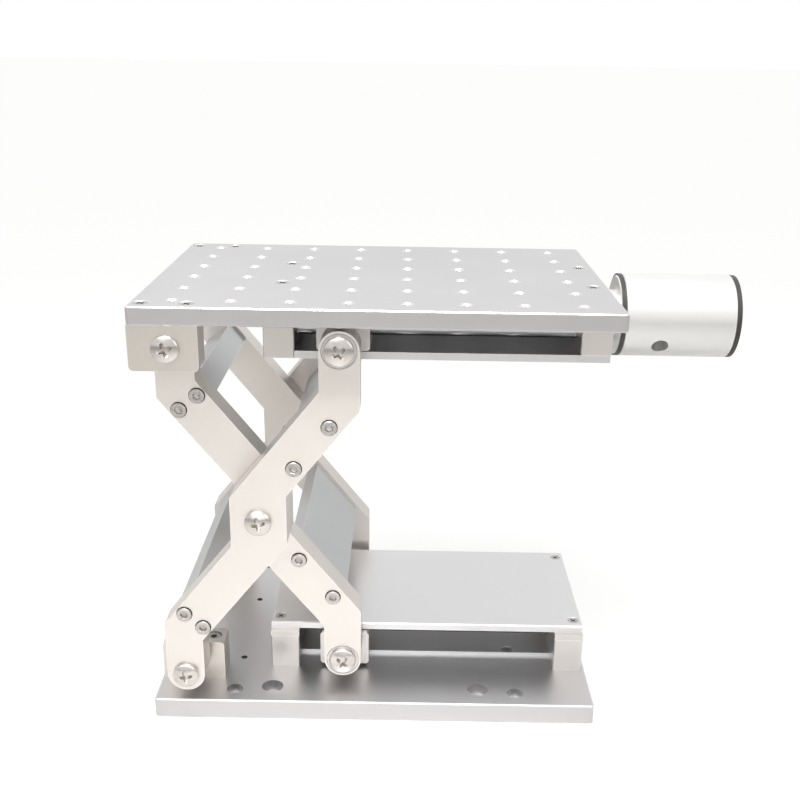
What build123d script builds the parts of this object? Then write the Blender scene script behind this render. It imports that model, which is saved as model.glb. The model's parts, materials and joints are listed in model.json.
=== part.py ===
from build123d import *
import math
import os

# Manual scissor lift stage: a drilled table carried on two pairs of cranked arms over a base
# plate. A hand knob turns a lead screw under the table, the screw draws the upper slider along
# two rods, and the arms fold. X runs along the screw towards the knob, Y across, Z up. The
# origin is the middle of the base plate's underside. All sizes are millimetres.

# Plates
plate_length = 210.0
plate_depth = 150.0
table_thickness = 8.0
base_thickness = 10.0
plate_corner_radius = 1.5
edge_break = 0.5

# Threaded grid of the table
grid_pitch = 25.0
grid_columns = 8
grid_rows = 6
grid_hole_radius = 2.5
grid_mouth_chamfer = 0.4

# Holes of the base plate
bench_bolt_spacing_x = 100.0
bench_bolt_spacing_y = 125.0
bench_bolt_radius = 3.3
bench_bolt_head_radius = 5.25
bench_bolt_head_depth = 6.0
riser_bolt_spacing_x = 136.0
riser_bolt_spacing_y = 130.0
riser_bolt_radius = 2.25
riser_bolt_head_radius = 4.0
riser_bolt_head_depth = 4.6
locating_hole_x = -67.5
locating_hole_front_y = -37.0
locating_hole_rear_y = 23.0
locating_hole_radius = 1.6
locating_hole_depth = 6.0

# Scissor linkage
arm_pivot_length = 175.0
rest_rise = 159.0
base_pivot_height = 14.0
table_pivot_drop = 10.0
fixed_pivot_x = -89.0
arm_thickness = 14.0
arm_side_gap = 0.5
arm_edge_inset = 0.5
arm_end_radius = 8.75
arm_end_run = 22.5
arm_end_slope = 24.7
arm_limb_slope = -14.3
arm_limb_width = 18.8
arm_hub_half_width = 12.6
arm_corner_radius = 1.0

# Ties between the two arms of a pair
tie_plate_length = 34.0
tie_plate_thickness = 8.0
tie_plate_inset = 1.5
tie_plate_reach = 26.7
tie_plate_screw_spacing = 25.0
tie_bar_width = 16.0
tie_bar_thickness = 12.0
tie_bar_reach = 8.0
tie_bar_screw_spacing = 10.8
tie_end_clearance = 0.02

# Pivots
pivot_shank_radius = 3.0
bush_bore_clearance = 0.04
bush_wall = 2.0
bush_fit = 0.01
pivot_head_radius = 6.0
pivot_head_height = 3.4
pivot_crown_rise = 1.9
pivot_head_gap = 0.2
pivot_screw_recess = 2.0
pivot_sleeve_radius = 7.0
base_ear_offset = 4.5
slider_head_radius = 6.4
slider_washer_radius = 7.6
slider_washer_thickness = 1.2
slider_washer_clearance = 0.25
thread_engagement = 8.0
driver_slot_width = 1.3
driver_slot_length = 6.4
driver_slot_depth = 1.9
driver_slot_turn = 20.0
quarter_turn = 90.0

# Ears on the base and brackets under the table
ear_width = 30.0
ear_height = 20.0
ear_thickness = 14.0
ear_edge_radius = 2.0
ear_screw_spacing = 18.0
bracket_screw_spacing = 19.4
bracket_x_offset = -1.2

# Socket screws
cap_m4_head_radius = 3.5
cap_m4_head_height = 4.0
cap_m4_shank_radius = 2.0
cap_m4_socket = 3.0
cap_socket_depth = 2.0
cap_head_edge = 0.4
cap_m4_pocket_clearance = 0.3
cap_m4_pocket_depth = 2.6
tie_screw_length = 26.0
ear_screw_length = 24.0

# Countersunk screws
flat_m4_head_radius = 3.75
flat_m4_shank_radius = 2.0
flat_m4_length = 16.0
flat_m3_head_radius = 2.8
flat_m3_shank_radius = 1.5
flat_m3_length = 8.0
flat_head_sink = 0.15
flat_recess_length_share = 1.1
flat_recess_width_share = 0.25
flat_recess_depth_share = 0.8
flat_recess_turn = 45.0
screw_hole_clearance = 0.05

# Upper guide under the table
end_block_width = 14.0
end_block_depth = 88.0
end_block_left_x = -45.0
end_block_right_x = 98.0
guide_gap_height = 18.5
closing_plate_thickness = 3.5
closing_plate_tongue = 3.0
closing_plate_lip = 1.2
closing_plate_groove_clearance = 0.1
end_block_screw_spacing = 45.0
upper_rod_spacing = 60.0
upper_rod_radius = 4.0
rod_socket_depth = 8.0
rod_fit = 0.01
closing_screw_spacing = 46.0

# Lower guide on the base
support_width = 14.0
support_left_x = -45.5
support_right_x = 96.0
support_height = 17.0
cover_spacer_height = 3.0
cover_thickness = 3.5
cover_depth = 82.0
cover_screw_inset = 4.0
cover_screw_spacing = 70.0
lower_rod_spacing = 40.0
lower_rod_radius = 4.0
lower_rod_height = 11.5
wear_plate_depth = 62.0
wear_plate_thickness = 1.6
wear_plate_screw_spacing_x = 84.0
wear_plate_screw_spacing_y = 56.0
support_screw_spacing = 60.0

# Sliders
slider_length = 24.0
slider_depth = 88.0
slider_clearance = 0.4
slider_edge_chamfer = 1.0
rod_bush_wall = 1.5
rod_bush_clearance = 0.04

# Lead screw, nut and bearings
screw_radius = 5.0
screw_journal_radius = 4.0
screw_run_clearance = 0.05
screw_pass_clearance = 0.2
nut_radius = 7.5
nut_bore_clearance = 0.06
nut_fit = 0.02
bearing_radius = 8.0
bearing_width = 5.0
left_bush_radius = 6.0
left_bush_length = 10.0
bearing_cap_radius = 14.5
bearing_cap_thickness = 3.0
bearing_cap_screw_circle = 21.0
collar_radius = 8.0
collar_width = 3.0
collar_gap = 0.4

# Knob
knob_radius = 19.8
knob_length = 57.0
knob_gap = 5.0
knob_ring_width = 2.4
knob_ring_relief = 0.9
knob_hub_radius = 12.0
knob_hub_length = 3.5
knob_bore_depth = 34.0
knob_face_recess_radius = 15.5
knob_face_recess_depth = 1.2
knob_bar_hole_radius = 4.0
knob_bar_hole_reach = 20.0
knob_bar_hole_depth = 9.0
knob_bar_hole_turn = -35.0
knob_set_screw_radius = 2.5
knob_set_screw_length = 6.0

# Derived heights and places
rest_angle = math.degrees(math.asin(rest_rise / arm_pivot_length))
rest_span = arm_pivot_length * math.cos(math.radians(rest_angle))
base_top = base_thickness
base_pivot_z = base_top + base_pivot_height
table_pivot_z = base_pivot_z + rest_rise
table_bottom = table_pivot_z + table_pivot_drop
table_top = table_bottom + table_thickness
moving_pivot_x = fixed_pivot_x + rest_span
hub_x = fixed_pivot_x + rest_span / 2
hub_z = base_pivot_z + rest_rise / 2

arm_a_outer = plate_depth / 2 - arm_edge_inset
arm_a_inner = arm_a_outer - arm_thickness
arm_b_outer = arm_a_inner - arm_side_gap
arm_b_inner = arm_b_outer - arm_thickness
ear_outer = arm_a_inner - base_ear_offset
ear_inner = ear_outer - ear_thickness
bracket_outer = arm_a_outer
bracket_inner = arm_b_outer + arm_side_gap
slider_end = slider_depth / 2

closing_plate_top = table_bottom - guide_gap_height
closing_plate_bottom = closing_plate_top - closing_plate_thickness
end_block_left_inner = end_block_left_x + end_block_width / 2
end_block_right_inner = end_block_right_x - end_block_width / 2
end_block_right_outer = end_block_right_x + end_block_width / 2
support_left_inner = support_left_x + support_width / 2
support_right_inner = support_right_x - support_width / 2
cover_bottom = base_top + support_height + cover_spacer_height
cover_left = support_left_x - support_width / 2
cover_right = support_right_x + support_width / 2
lower_rod_z = base_top + lower_rod_height
knob_left = end_block_right_outer + bearing_cap_thickness + knob_gap
knob_right = knob_left + knob_length

pieces = {}


def keep(name, shape):
    """Store a finished piece under the name of its file."""
    pieces[name] = shape


def box_between(low, high):
    """A box from its lowest to its highest corner."""
    size = [top - bottom for bottom, top in zip(low, high)]
    middle = [(top + bottom) / 2 for bottom, top in zip(low, high)]
    return Pos(*middle) * Box(*size)


def rod_between(start, direction, radius, length):
    """A round bar from a start point along a direction."""
    return extrude(Plane(start, z_dir=direction) * Circle(radius), amount=length)


def tube_between(start, direction, outer, inner, length):
    """A round tube from a start point along a direction."""
    bar = rod_between(start, direction, outer, length)
    return bar - rod_between(start, direction, inner, length)


def sides():
    """The front side and the rear side, as signs of Y."""
    return (-1, 1)


def across(side, distance):
    """The Y place of a distance from the middle plane on one side."""
    return side * distance


def slab(low_y, high_y):
    """Lower and higher Y of a layer, in that order."""
    return min(low_y, high_y), max(low_y, high_y)


def arm_plane(kind, y):
    """Drawing plane of an arm: its X follows the pivot line from the fixed to the moving end.

    Arm A climbs towards the moving end and arm B is its mirror image, which descends.
    """
    rise = math.sin(math.radians(rest_angle))
    run = math.cos(math.radians(rest_angle))
    if kind == "a":
        return Plane((hub_x, y, hub_z), x_dir=(run, 0, rise), z_dir=(0, -1, 0))
    return Plane((hub_x, y, hub_z), x_dir=(run, 0, -rise), z_dir=(0, 1, 0))


def extrude_layer(kind, sketch, low_y, high_y):
    """Extrude a sketch drawn in an arm's plane between two Y values."""
    if kind == "a":
        return extrude(arm_plane(kind, high_y) * sketch, amount=high_y - low_y)
    return extrude(arm_plane(kind, low_y) * sketch, amount=high_y - low_y)


def heading(degrees):
    """Unit vector in the arm's plane at an angle from the pivot line."""
    return Vector(math.cos(math.radians(degrees)), math.sin(math.radians(degrees)))


def square_to(direction):
    """A direction turned a quarter turn to the left."""
    return Vector(-direction.Y, direction.X)


def crossing(point_a, along_a, point_b, along_b):
    """Where two lines of the arm's plane cross."""
    gap = point_b - point_a
    scale = (gap.X * along_b.Y - gap.Y * along_b.X) / (along_a.X * along_b.Y - along_a.Y * along_b.X)
    return point_a + along_a * scale


end_heading = heading(arm_end_slope)
limb_heading = heading(arm_limb_slope)
end_pivot = Vector(arm_pivot_length / 2, 0)
bend_point = end_pivot - end_heading * arm_end_run
limb_left = bend_point + square_to(limb_heading) * (arm_limb_width / 2)
limb_right = bend_point - square_to(limb_heading) * (arm_limb_width / 2)
end_left = end_pivot + square_to(end_heading) * arm_end_radius
end_right = end_pivot - square_to(end_heading) * arm_end_radius
outer_bend = crossing(end_right, end_heading, limb_right, limb_heading)
inner_bend = crossing(end_left, end_heading, limb_left, limb_heading)
hub_left = square_to(end_heading) * arm_hub_half_width
hub_right_corner = crossing(hub_left * -1, end_heading, limb_right, limb_heading)
hub_left_corner = crossing(hub_left, end_heading, limb_left, limb_heading)

# Centres of the ties in the arm's plane
tie_plate_centre = (
    outer_bend
    - limb_heading * tie_plate_reach
    + square_to(limb_heading) * (tie_plate_inset + tie_plate_thickness / 2)
)
tie_bar_centre = (bend_point - limb_heading * tie_bar_reach) * -1


def tie_screw_points():
    """Screw places of both ties in the arm's plane: the plate's pair, then the bar's pair."""
    along_plate = limb_heading * (tie_plate_screw_spacing / 2)
    along_bar = square_to(limb_heading) * (tie_bar_screw_spacing / 2)
    return [
        tie_plate_centre + along_plate,
        tie_plate_centre - along_plate,
        tie_bar_centre + along_bar,
        tie_bar_centre - along_bar,
    ]


def arm_sketch():
    """Cranked arm: two upright ends, two sloping limbs and a wider hub, the same both ways round."""
    tip = end_pivot + end_heading * arm_end_radius
    half = [
        Line(hub_right_corner, outer_bend),
        Line(outer_bend, end_right),
        ThreePointArc(end_right, tip, end_left),
        Line(end_left, inner_bend),
        Line(inner_bend, hub_left_corner),
    ]
    other = [
        Line(hub_left_corner, hub_right_corner * -1),
        Line(hub_right_corner * -1, outer_bend * -1),
        Line(outer_bend * -1, end_right * -1),
        ThreePointArc(end_right * -1, tip * -1, end_left * -1),
        Line(end_left * -1, inner_bend * -1),
        Line(inner_bend * -1, hub_left_corner * -1),
        Line(hub_left_corner * -1, hub_right_corner),
    ]
    return make_face(half + other)


def world_of(kind, point, y):
    """World place of a point drawn in an arm's plane, at a given Y."""
    place = arm_plane(kind, y).from_local_coords(Vector(point.X, point.Y, 0))
    return (place.X, y, place.Z)


def arm(kind, side, outer, inner):
    """One arm with its pivot bores, tie screw holes and, at the sliding end, a washer pocket."""
    low_y, high_y = slab(across(side, outer), across(side, inner))
    body = extrude_layer(kind, arm_sketch(), low_y, high_y)
    corners = body.edges().filter_by(Axis.Y).filter_by(GeomType.LINE)
    body = fillet(corners, arm_corner_radius)
    inward = (0, -side, 0)
    outer_y = across(side, outer)
    bush_radius = pivot_shank_radius + bush_bore_clearance + bush_wall + bush_fit
    for spot in (end_pivot * -1, Vector(0, 0), end_pivot):
        radius = bush_radius
        if kind == "b" and spot.length < arm_end_radius:
            radius = pivot_shank_radius + screw_hole_clearance
        body -= rod_between(world_of(kind, spot, outer_y), inward, radius, arm_thickness)
    pocket_radius = slider_washer_radius + slider_washer_clearance
    body -= rod_between(
        world_of(kind, end_pivot, outer_y), inward, pocket_radius, slider_washer_thickness
    )
    for spot in tie_screw_points():
        place = world_of(kind, spot, outer_y)
        body -= rod_between(place, inward, cap_m4_shank_radius + screw_hole_clearance, arm_thickness)
        head_radius = cap_m4_head_radius + cap_m4_pocket_clearance
        body -= rod_between(place, inward, head_radius, cap_m4_pocket_depth)
    return body


def tie(kind, centre, length, thickness, inner):
    """Cross member between the inner faces of a pair, tapped for its screws."""
    reach = inner - tie_end_clearance
    turn = arm_limb_slope
    sketch = Pos(centre.X, centre.Y) * Rot(0, 0, turn) * Rectangle(length, thickness)
    return extrude_layer(kind, sketch, -reach, reach)


def cap_screw(place, direction, head_radius, head_height, shank_radius, length, socket):
    """Socket head cap screw; place is under the head, direction points along the shank."""
    axis = Vector(*direction)
    start = Vector(*place)
    shank = rod_between(start, axis, shank_radius, length)
    head_start = start - axis * head_height
    head = rod_between(head_start, axis, head_radius, head_height)
    rim = head.edges().filter_by(GeomType.CIRCLE).sort_by(lambda edge: (edge.center() - head_start).length)[0]
    head = chamfer(rim, cap_head_edge)
    hexagon = Plane(head_start, z_dir=axis) * RegularPolygon(socket / 2, 6, major_radius=False)
    return head + shank - extrude(hexagon, amount=cap_socket_depth)


def flat_screw(place, direction, head_radius, shank_radius, length):
    """Countersunk screw; place is the middle of its flat top, a little below the surface."""
    depth = head_radius - shank_radius
    profile = Polyline(
        (0, 0), (head_radius, 0), (shank_radius, depth), (shank_radius, length), (0, length), (0, 0)
    )
    body = revolve(Plane.XZ * make_face(profile), Axis.Z)
    slot_length = head_radius * flat_recess_length_share
    slot_width = head_radius * flat_recess_width_share
    slot_depth = depth * flat_recess_depth_share
    for turn in (flat_recess_turn, flat_recess_turn + quarter_turn):
        cutter = Pos(0, 0, slot_depth / 2) * Rot(0, 0, turn) * Box(slot_length, slot_width, slot_depth)
        body -= cutter
    return Plane(place, z_dir=direction) * body


def small_screw(place, direction):
    """M3 countersunk screw for a hole whose mouth is at the given place."""
    return flat_screw(sunk(place, direction), direction, flat_m3_head_radius, flat_m3_shank_radius,
                      flat_m3_length)


def flat_screw_cut(place, direction, head_radius, shank_radius, length):
    """Countersink and hole for a flat screw, started at the surface."""
    clear = screw_hole_clearance
    mouth = head_radius + flat_head_sink + clear
    depth = mouth - shank_radius - clear
    profile = Polyline(
        (0, 0),
        (mouth, 0),
        (shank_radius + clear, depth),
        (shank_radius + clear, length + clear),
        (0, length + clear),
        (0, 0),
    )
    return Plane(place, z_dir=direction) * revolve(Plane.XZ * make_face(profile), Axis.Z)


def sunk(place, direction):
    """A point moved below the surface by the sink of a flat head."""
    return Vector(*place) + Vector(*direction) * flat_head_sink


def pivot_screw(place, direction, head_radius, length):
    """Cross recessed pan head screw; place is under the head, direction runs along the shank."""
    crown = pivot_crown_rise
    crown_radius = (head_radius**2 + crown**2) / (2 * crown)
    half_way = head_radius / 2
    dip = crown_radius - math.sqrt(crown_radius**2 - half_way**2)
    rim = (head_radius, crown - pivot_head_height)
    outline = [
        Line((0, length), (pivot_shank_radius, length)),
        Line((pivot_shank_radius, length), (pivot_shank_radius, 0)),
        Line((pivot_shank_radius, 0), (head_radius, 0)),
        Line((head_radius, 0), rim),
        ThreePointArc(rim, (half_way, dip - pivot_head_height), (0, -pivot_head_height)),
        Line((0, -pivot_head_height), (0, length)),
    ]
    body = revolve(Plane.XZ * make_face(outline), Axis.Z)
    for turn in (driver_slot_turn, driver_slot_turn + quarter_turn):
        cutter = Box(driver_slot_length, driver_slot_width, driver_slot_depth)
        depth = -pivot_head_height + driver_slot_depth / 2
        body -= Pos(0, 0, depth) * Rot(0, 0, turn) * cutter
    return Plane(place, z_dir=direction) * body


def plate_with_corners(bottom, thickness):
    """A plate of the stage's full size with rounded upright corners and broken edges."""
    blank = Pos(0, 0, bottom + thickness / 2) * Box(plate_length, plate_depth, thickness)
    blank = fillet(blank.edges().filter_by(Axis.Z), plate_corner_radius)
    rims = blank.faces().sort_by(Axis.Z)[-1].edges() + blank.faces().sort_by(Axis.Z)[0].edges()
    return chamfer(rims, edge_break)


def bracket_screw_places():
    """Places of the screws that hold the table's brackets."""
    middle = fixed_pivot_x + bracket_x_offset
    y = (bracket_outer + bracket_inner) / 2
    return [
        (middle + end * bracket_screw_spacing / 2, across(side, y))
        for side in sides()
        for end in (-1, 1)
    ]


def end_block_screw_places():
    """Places of the screws that hold the end blocks of the upper guide."""
    return [
        (x, side * end_block_screw_spacing / 2)
        for x in (end_block_left_x, end_block_right_x)
        for side in sides()
    ]


def table_plate():
    """Drilled table: threaded grid and countersunk holes for brackets and end blocks."""
    plate = plate_with_corners(table_bottom, table_thickness)
    mouth = grid_hole_radius + grid_mouth_chamfer
    drill = Cylinder(grid_hole_radius, table_thickness)
    drill += Pos(0, 0, table_thickness / 2 - grid_mouth_chamfer / 2) * Cone(
        grid_hole_radius, mouth, grid_mouth_chamfer
    )
    spots = GridLocations(grid_pitch, grid_pitch, grid_columns, grid_rows)
    middle = table_bottom + table_thickness / 2
    plate -= [Pos(0, 0, middle) * spot * drill for spot in spots]
    for x, y in bracket_screw_places() + end_block_screw_places():
        plate -= flat_screw_cut(
            (x, y, table_top), (0, 0, -1), flat_m4_head_radius, flat_m4_shank_radius, table_thickness
        )
    return plate


def base_plate():
    """Base with two patterns of counterbored mounting holes and tapped holes for what it carries."""
    plate = plate_with_corners(0, base_thickness)
    patterns = (
        (bench_bolt_spacing_x, bench_bolt_spacing_y, bench_bolt_radius, bench_bolt_head_radius,
         bench_bolt_head_depth),
        (riser_bolt_spacing_x, riser_bolt_spacing_y, riser_bolt_radius, riser_bolt_head_radius,
         riser_bolt_head_depth),
    )
    for spacing_x, spacing_y, radius, head_radius, head_depth in patterns:
        for spot in GridLocations(spacing_x, spacing_y, 2, 2):
            plate -= Pos(0, 0, base_thickness / 2) * spot * Cylinder(radius, base_thickness)
            head_z = base_thickness - head_depth / 2
            plate -= Pos(0, 0, head_z) * spot * Cylinder(head_radius, head_depth)
    for y in (locating_hole_front_y, locating_hole_rear_y):
        start = (locating_hole_x, y, base_top)
        plate -= rod_between(start, (0, 0, -1), locating_hole_radius, locating_hole_depth)
    for x, y in support_screw_places():
        plate -= flat_screw_cut(
            (x, y, 0), (0, 0, 1), flat_m4_head_radius, flat_m4_shank_radius, base_thickness
        )
    for x, y in wear_plate_screw_places():
        start = (x, y, base_top)
        plate -= rod_between(
            start, (0, 0, -1), flat_m3_shank_radius + screw_hole_clearance,
            flat_m3_length + flat_head_sink + screw_hole_clearance - wear_plate_thickness,
        )
    for x, y in ear_screw_places():
        start = (x, y, base_top)
        plate -= rod_between(
            start, (0, 0, -1), cap_m4_shank_radius + screw_hole_clearance,
            ear_screw_length + screw_hole_clearance - (ear_height - ear_screw_seat_depth()),
        )
    return plate


def ear_screw_places():
    """Places of the upright screws that hold the base ears."""
    y = (ear_outer + ear_inner) / 2
    return [
        (fixed_pivot_x + end * ear_screw_spacing / 2, across(side, y))
        for side in sides()
        for end in (-1, 1)
    ]


def support_screw_places():
    """Places of the screws that come up through the base into the guide supports."""
    return [
        (x, side * support_screw_spacing / 2)
        for x in (support_left_x, support_right_x)
        for side in sides()
    ]


def wear_plate_screw_places():
    """Places of the small screws that hold the wear plate."""
    middle = (support_left_inner + support_right_inner) / 2
    return [
        (middle + end * wear_plate_screw_spacing_x / 2, side * wear_plate_screw_spacing_y / 2)
        for end in (-1, 1)
        for side in sides()
    ]


def cover_screw_places():
    """Places of the screws at the corners of the cover."""
    return [
        (x, side * cover_screw_spacing / 2)
        for x in (cover_left + cover_screw_inset, cover_right - cover_screw_inset)
        for side in sides()
    ]


def closing_screw_places():
    """Places of the screws that hold the closing plate to the right end block."""
    return [(end_block_right_x, side * closing_screw_spacing / 2) for side in sides()]


def base_ear(side):
    """Upright block on the base that carries an arm's fixed end."""
    low_y, high_y = slab(across(side, ear_outer), across(side, ear_inner))
    half = ear_width / 2
    block = box_between(
        (fixed_pivot_x - half, low_y, base_top), (fixed_pivot_x + half, high_y, base_top + ear_height)
    )
    top_edges = block.faces().sort_by(Axis.Z)[-1].edges().filter_by(Axis.Y)
    block = fillet(top_edges, ear_edge_radius)
    start = (fixed_pivot_x, across(side, ear_outer), base_pivot_z)
    block -= rod_between(
        start, (0, -side, 0), pivot_shank_radius + screw_hole_clearance, ear_thickness
    )
    top = base_top + ear_height
    for x, y in ear_screw_places():
        if y * side > 0:
            block -= rod_between(
                (x, y, top), (0, 0, -1), cap_m4_shank_radius + screw_hole_clearance, ear_height
            )
            block -= rod_between(
                (x, y, top),
                (0, 0, -1),
                cap_m4_head_radius + cap_m4_pocket_clearance,
                ear_screw_seat_depth(),
            )
    return block


def ear_screw_seat_depth():
    """Depth of the head pocket in an ear: the head sits just below the top."""
    return cap_m4_head_height + edge_break


def table_bracket(side):
    """Block under the table that carries an arm's fixed end."""
    low_y, high_y = slab(across(side, bracket_outer), across(side, bracket_inner))
    half = ear_width / 2
    middle = fixed_pivot_x + bracket_x_offset
    block = box_between(
        (middle - half, low_y, table_bottom - ear_height), (middle + half, high_y, table_bottom)
    )
    low_edges = block.faces().sort_by(Axis.Z)[0].edges().filter_by(Axis.Y)
    block = fillet(low_edges, ear_edge_radius)
    start = (fixed_pivot_x, across(side, bracket_outer), table_pivot_z)
    block -= rod_between(
        start, (0, -side, 0), pivot_shank_radius + screw_hole_clearance, ear_thickness
    )
    for x, y in bracket_screw_places():
        if y * side > 0:
            block -= rod_between(
                (x, y, table_bottom), (0, 0, -1), flat_m4_shank_radius + screw_hole_clearance,
                flat_m4_length + flat_head_sink + screw_hole_clearance - table_thickness,
            )
    return block


def end_block_left():
    """Left end block: rod sockets, screw bush seat and a blind groove for the closing plate."""
    half = end_block_width / 2
    side_y = end_block_depth / 2
    bottom = closing_plate_bottom
    block = box_between(
        (end_block_left_x - half, -side_y, bottom), (end_block_left_x + half, side_y, table_bottom)
    )
    block = chamfer(block.edges().filter_by(Axis.Z), edge_break)
    groove_y = side_y - closing_plate_thickness + closing_plate_groove_clearance
    block -= box_between(
        (end_block_left_inner - closing_plate_tongue - closing_plate_groove_clearance, -groove_y,
         closing_plate_bottom + closing_plate_lip - closing_plate_groove_clearance),
        (end_block_left_inner, groove_y, closing_plate_top + closing_plate_groove_clearance),
    )
    seat = (end_block_left_inner, 0, table_pivot_z)
    block -= rod_between(seat, (-1, 0, 0), left_bush_radius + bush_fit, left_bush_length)
    return drilled_for_rods(block, end_block_left_inner, -1, upper_rod_spacing, table_pivot_z,
                            upper_rod_radius)


def end_block_right():
    """Right end block: rod sockets, bearing seat and the hole for the lead screw."""
    half = end_block_width / 2
    side_y = end_block_depth / 2
    block = box_between(
        (end_block_right_x - half, -side_y, closing_plate_top),
        (end_block_right_x + half, side_y, table_bottom),
    )
    block = chamfer(block.edges().filter_by(Axis.Z), edge_break)
    outer = (end_block_right_outer, 0, table_pivot_z)
    block -= rod_between(outer, (-1, 0, 0), bearing_radius + bush_fit, bearing_width)
    block -= rod_between(
        outer, (-1, 0, 0), screw_journal_radius + screw_pass_clearance, end_block_width
    )
    for x, y in closing_screw_places():
        block -= rod_between(
            (x, y, closing_plate_top), (0, 0, 1), flat_m3_shank_radius + screw_hole_clearance,
            flat_m3_length,
        )
    for spot in cap_screw_places():
        block -= rod_between(spot, (-1, 0, 0), flat_m3_shank_radius + screw_hole_clearance,
                             flat_m3_length)
    return drilled_for_rods(block, end_block_right_inner, 1, upper_rod_spacing, table_pivot_z,
                            upper_rod_radius)


def drilled_for_rods(block, face_x, direction, spacing, z, radius):
    """Cut the two rod sockets into a block, and the screw holes in its top where the table sits."""
    for side in sides():
        start = (face_x, side * spacing / 2, z)
        block -= rod_between(start, (direction, 0, 0), radius + rod_fit, rod_socket_depth)
    if z == table_pivot_z:
        for x, y in end_block_screw_places():
            block -= rod_between(
                (x, y, table_bottom), (0, 0, -1), flat_m4_shank_radius + screw_hole_clearance,
                flat_m4_length + flat_head_sink + screw_hole_clearance - table_thickness,
            )
    return block


def guide_support(x):
    """Block at one end of the lower guide."""
    half = support_width / 2
    side_y = end_block_depth / 2
    block = box_between(
        (x - half, -side_y, base_top), (x + half, side_y, base_top + support_height)
    )
    block = chamfer(block.edges().filter_by(Axis.Z), edge_break)
    inward = 1 if x < 0 else -1
    face_x = x + inward * half
    for screw_x, screw_y in support_screw_places():
        block -= rod_between(
            (screw_x, screw_y, base_top), (0, 0, 1), flat_m4_shank_radius + screw_hole_clearance,
            flat_m4_length + flat_head_sink + screw_hole_clearance - base_thickness,
        )
    for screw_x, screw_y in cover_screw_places():
        top = base_top + support_height
        block -= rod_between(
            (screw_x, screw_y, top), (0, 0, -1), flat_m3_shank_radius + screw_hole_clearance,
            flat_m3_length,
        )
    return drilled_for_rods(block, face_x, -inward, lower_rod_spacing, lower_rod_z, lower_rod_radius)


def cover_spacer(x):
    """Flat strip between a support and the cover."""
    half = support_width / 2
    side_y = end_block_depth / 2
    low = base_top + support_height
    strip = box_between((x - half, -side_y, low), (x + half, side_y, low + cover_spacer_height))
    for screw_x, screw_y in cover_screw_places():
        strip -= rod_between(
            (screw_x, screw_y, low), (0, 0, 1), flat_m3_shank_radius + screw_hole_clearance,
            cover_spacer_height,
        )
    return strip


def guide_cover():
    """Thin cover plate over the lower guide."""
    half = cover_depth / 2
    plate = box_between(
        (cover_left, -half, cover_bottom), (cover_right, half, cover_bottom + cover_thickness)
    )
    plate = chamfer(plate.faces().sort_by(Axis.Z)[-1].edges(), edge_break)
    top = cover_bottom + cover_thickness
    for x, y in cover_screw_places():
        plate -= flat_screw_cut(
            (x, y, top), (0, 0, -1), flat_m3_head_radius, flat_m3_shank_radius, cover_thickness
        )
    return plate


def wear_plate():
    """Thin plate on the base under the lower slider."""
    half = wear_plate_depth / 2
    clear = screw_hole_clearance
    plate = box_between(
        (support_left_inner + clear, -half, base_top),
        (support_right_inner - clear, half, base_top + wear_plate_thickness),
    )
    for x, y in wear_plate_screw_places():
        plate -= flat_screw_cut(
            (x, y, base_top + wear_plate_thickness), (0, 0, -1), flat_m3_head_radius,
            flat_m3_shank_radius, wear_plate_thickness,
        )
    return plate


def closing_plate():
    """Plate under the upper guide, with a tongue at the left and screws at the right."""
    half = end_block_depth / 2
    plate = box_between(
        (end_block_left_inner + screw_hole_clearance, -half, closing_plate_bottom),
        (end_block_right_outer - edge_break, half, closing_plate_top),
    )
    tongue_y = half - closing_plate_thickness
    plate += box_between(
        (end_block_left_inner - closing_plate_tongue, -tongue_y,
         closing_plate_bottom + closing_plate_lip),
        (end_block_left_inner + closing_plate_tongue, tongue_y, closing_plate_top),
    )
    for x, y in closing_screw_places():
        plate -= flat_screw_cut(
            (x, y, closing_plate_bottom), (0, 0, 1), flat_m3_head_radius, flat_m3_shank_radius,
            closing_plate_thickness,
        )
    return plate


def slider_block(low_z, high_z, rod_spacing, rod_z, rod_radius):
    """Sliding block with bush seats for its rods and tapped ends for the pivot screws."""
    half = slider_length / 2
    block = box_between(
        (moving_pivot_x - half, -slider_end, low_z), (moving_pivot_x + half, slider_end, high_z)
    )
    block = chamfer(block.edges().filter_by(Axis.Y), slider_edge_chamfer)
    seat = rod_radius + rod_bush_clearance + rod_bush_wall + bush_fit
    for side in sides():
        start = (moving_pivot_x - half, side * rod_spacing / 2, rod_z)
        block -= rod_between(start, (1, 0, 0), seat, slider_length)
    return block


def slider_pivot_holes(block, pivot_z):
    """Cut the blind screw holes in both ends of a slider."""
    for side in sides():
        start = (moving_pivot_x, across(side, slider_end), pivot_z)
        block -= rod_between(
            start, (0, -side, 0), pivot_shank_radius + screw_hole_clearance,
            thread_engagement + screw_hole_clearance,
        )
    return block


def upper_slider():
    """Slider under the table, bored for the lead nut."""
    low = closing_plate_top + slider_clearance
    high = table_bottom - slider_clearance
    block = slider_block(low, high, upper_rod_spacing, table_pivot_z, upper_rod_radius)
    block = slider_pivot_holes(block, table_pivot_z)
    start = (moving_pivot_x - slider_length / 2, 0, table_pivot_z)
    return block - rod_between(start, (1, 0, 0), nut_radius + nut_fit, slider_length)


def lower_slider():
    """Slider between the wear plate and the cover."""
    low = base_top + wear_plate_thickness + slider_clearance
    high = cover_bottom - slider_clearance
    block = slider_block(low, high, lower_rod_spacing, lower_rod_z, lower_rod_radius)
    return slider_pivot_holes(block, base_pivot_z)


def rod_bushes(rod_spacing, rod_z, rod_radius):
    """Plain bushes of a slider, one on each rod."""
    inner = rod_radius + rod_bush_clearance
    start_x = moving_pivot_x - slider_length / 2
    return Compound([
        tube_between(
            (start_x, side * rod_spacing / 2, rod_z), (1, 0, 0), inner + rod_bush_wall, inner,
            slider_length,
        )
        for side in sides()
    ])


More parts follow.
